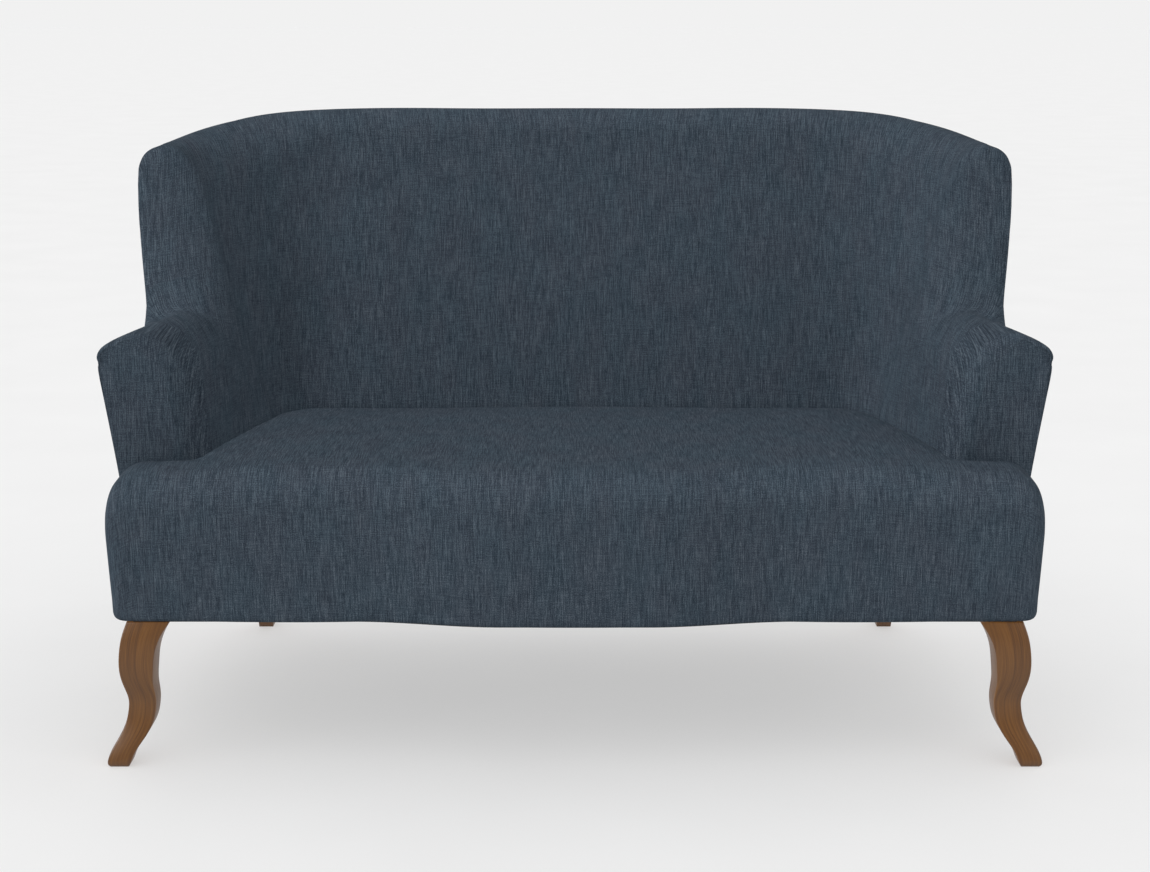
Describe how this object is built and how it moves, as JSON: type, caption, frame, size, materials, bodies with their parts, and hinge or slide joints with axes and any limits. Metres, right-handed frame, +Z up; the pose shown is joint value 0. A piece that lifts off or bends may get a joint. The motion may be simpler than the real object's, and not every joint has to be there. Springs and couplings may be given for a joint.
{
  "type": "high back settee",
  "caption": "High-backed settee with a curved wing back, padded arms, a bowed seat and cabriole front legs.",
  "frame": {"origin": "centre of the footprint of the whole settee, on the floor", "axes": "+X to the right as seen from the front, +Y towards the back, +Z up"},
  "size_m": [1.446, 0.784, 0.943],
  "materials": {
    "upholstery": "woven linen-look upholstery cloth, dark slate blue-grey",
    "dust_cloth": "thin black non-woven dust cloth",
    "foam": "cream upholstery foam under wadding",
    "webbing": "jute webbing, herringbone weave",
    "hessian": "plain hessian",
    "oak": "clear satin lacquer on oak",
    "card": "grey-brown panel board",
    "fixings": "zinc plated",
    "frame_timber": "sawn beech, unfinished"
  },
  "bodies": {
    "root": {"arm_facing_left": "upholstery", "arm_facing_right": "upholstery", "arm_front_post_left": "frame_timber", "arm_front_post_right": "frame_timber", "arm_pad_left": "foam", "arm_pad_right": "foam", "arm_stuffing_rail_left": "frame_timber", "arm_stuffing_rail_right": "frame_timber", "arm_top_rail_left": "frame_timber", "arm_top_rail_right": "frame_timber", "back_pad": "foam", "back_post_left": "frame_timber", "back_post_right": "frame_timber", "back_seat_rail": "frame_timber", "back_stuffing_rail": "frame_timber", "back_upright_left": "frame_timber", "back_upright_right": "frame_timber", "back_webbing": "webbing", "centre_seat_rail": "frame_timber", "corner_seat_rail_left": "frame_timber", "corner_seat_rail_right": "frame_timber", "crest_rail": "frame_timber", "dust_cover": "dust_cloth", "front_corner_blocks": "frame_timber", "front_leg_left": "oak", "front_leg_right": "oak", "front_seat_rail": "frame_timber", "inside_arm_cover_left": "upholstery", "inside_arm_cover_right": "upholstery", "inside_back_cover": "upholstery", "leg_bolts": "fixings", "outside_arm_board_left": "card", "outside_arm_board_right": "card", "outside_arm_cover_left": "upholstery", "outside_arm_cover_right": "upholstery", "outside_back_board": "card", "outside_back_cover": "upholstery", "rear_corner_blocks": "frame_timber", "rear_leg_left": "oak", "rear_leg_right": "oak", "seat_cover": "upholstery", "seat_hessian": "hessian", "seat_pad": "foam", "seat_webbing_cross": "webbing", "seat_webbing_long": "webbing", "side_seat_rail_left": "frame_timber", "side_seat_rail_right": "frame_timber", "tee_nuts": "fixings", "wing_board_left": "frame_timber", "wing_board_right": "frame_timber", "wing_pad_left": "foam", "wing_pad_right": "foam"}
  },
  "joints": []
}
